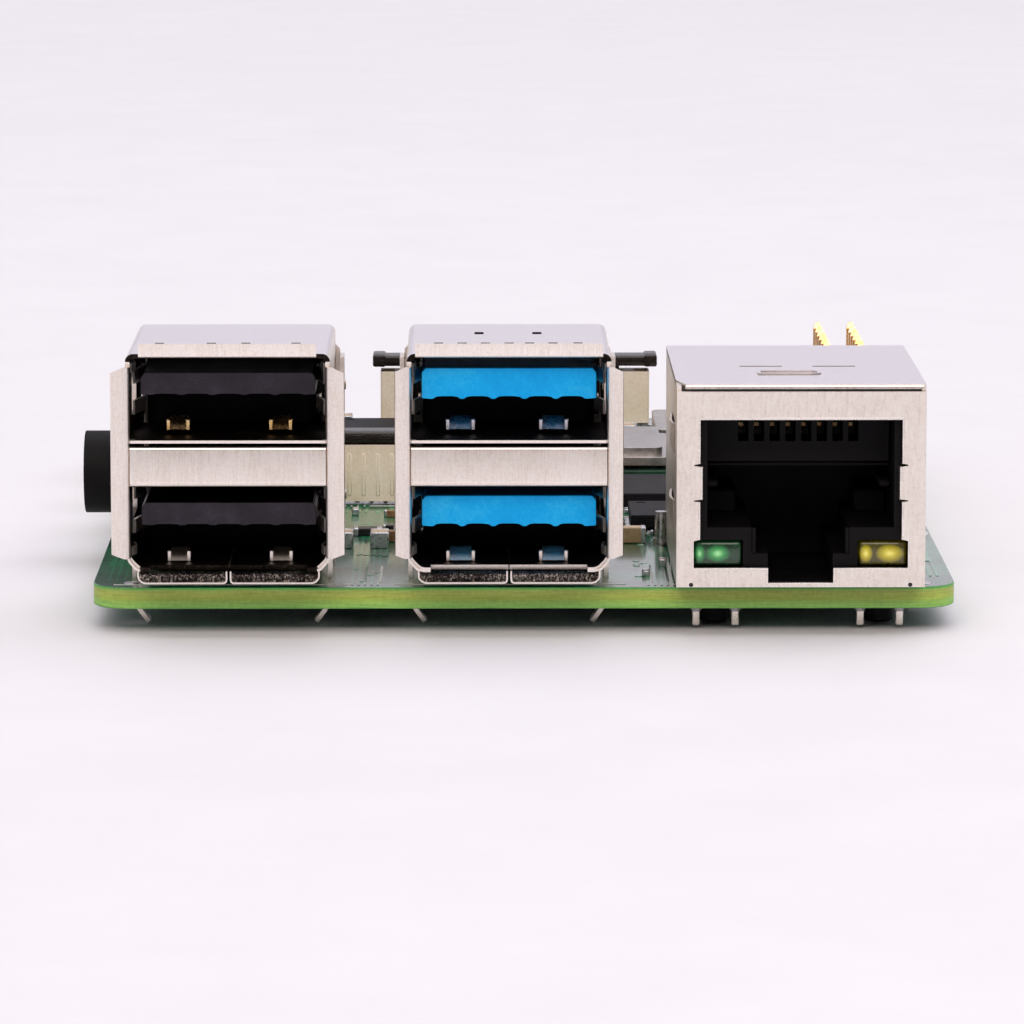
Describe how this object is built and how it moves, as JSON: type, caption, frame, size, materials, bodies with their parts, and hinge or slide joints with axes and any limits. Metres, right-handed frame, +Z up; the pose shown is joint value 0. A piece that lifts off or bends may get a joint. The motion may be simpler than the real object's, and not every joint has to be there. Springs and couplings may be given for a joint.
{
  "type": "single board computer",
  "caption": "Credit-card-size green circuit board with stacked USB-A ports and a network jack at one end, pin header, flex-cable connectors and small edge ports.",
  "frame": {"origin": "middle of the whole outline, on the plane that the lead ends and the card slot under the board rest on. The board's own centre is at X 1.1 mm, Y 1.4 mm", "axes": "+Z up out of the board's component side, -Y out of the USB and network ports, +X towards the pin header"},
  "size_m": [0.0582, 0.0878, 0.019],
  "materials": {
    "solder_mask": "semi-gloss green solder mask over glass laminate",
    "nickel_plate": "bright nickel plate",
    "black_plastic": "satin moulded plastic",
    "blue_plastic": "satin moulded plastic",
    "cream_plastic": "satin moulded plastic",
    "dark_plastic": "satin moulded plastic",
    "gold_plate": "gold plate on bronze",
    "green_lamp": "clear tinted epoxy",
    "yellow_lamp": "clear tinted epoxy",
    "red_lamp": "clear tinted epoxy",
    "chip_epoxy": "matt moulded epoxy",
    "lid_metal": "satin nickel-plated copper",
    "ferrite": "matt pressed ferrite"
  },
  "bodies": {
    "board": {"circuit_board": "solder_mask", "processor": "solder_mask", "usb_black_shield": "nickel_plate", "usb_black_rear_cover": "nickel_plate", "usb_black_divider": "nickel_plate", "usb_black_insulator": "black_plastic", "usb_black_upper_tongue": "black_plastic", "usb_black_lower_tongue": "black_plastic", "usb_blue_shield": "nickel_plate", "usb_blue_rear_cover": "nickel_plate", "usb_blue_divider": "nickel_plate", "usb_blue_insulator": "black_plastic", "usb_blue_upper_tongue": "blue_plastic", "usb_blue_lower_tongue": "blue_plastic", "ethernet_shield": "nickel_plate", "ethernet_housing": "black_plastic", "ethernet_contact_comb": "black_plastic", "ethernet_magnetics": "black_plastic", "ethernet_green_lamp": "green_lamp", "activity_lamp": "green_lamp", "ethernet_yellow_lamp": "yellow_lamp", "power_lamp": "red_lamp", "audio_jack": "black_plastic", "usb_c_tongue": "black_plastic", "video_1_tongue": "black_plastic", "video_2_tongue": "black_plastic", "pin_header": "black_plastic", "small_pin_header": "black_plastic", "card_slot_base": "black_plastic", "usb_c_shell": "nickel_plate", "video_1_shell": "nickel_plate", "video_2_shell": "nickel_plate", "card_slot_shell": "nickel_plate", "wireless_shield_can": "nickel_plate", "crystal": "nickel_plate", "camera_connector_body": "cream_plastic", "display_connector_body": "cream_plastic", "memory_chip": "chip_epoxy", "usb_controller": "chip_epoxy", "ethernet_controller": "chip_epoxy", "power_controller": "chip_epoxy", "processor_lid": "lid_metal", "inductor_1": "ferrite", "inductor_2": "ferrite"},
    "camera_latch": {"camera_connector_latch": "dark_plastic"},
    "display_latch": {"display_connector_latch": "dark_plastic"},
    "ethernet_contact_set": {"ethernet_contact_1": "gold_plate", "ethernet_contact_2": "gold_plate", "ethernet_contact_3": "gold_plate", "ethernet_contact_4": "gold_plate", "ethernet_contact_5": "gold_plate", "ethernet_contact_6": "gold_plate", "ethernet_contact_7": "gold_plate", "ethernet_contact_8": "gold_plate"}
  },
  "joints": [
    {"name": "camera_latch_slide", "type": "slide", "parent": "board", "child": "camera_latch", "axis": [0, 0, 1], "range_m": [0, 0.001]},
    {"name": "display_latch_slide", "type": "slide", "parent": "board", "child": "display_latch", "axis": [0, 0, 1], "range_m": [0, 0.001]},
    {"name": "ethernet_contact_flex", "type": "hinge", "parent": "board", "child": "ethernet_contact_set", "pos_m": [0.01885, -0.0389, 0.013], "axis": [1, 0, 0], "range_deg": [0, 8], "stiffness_Nm_per_rad": 0.5}
  ]
}
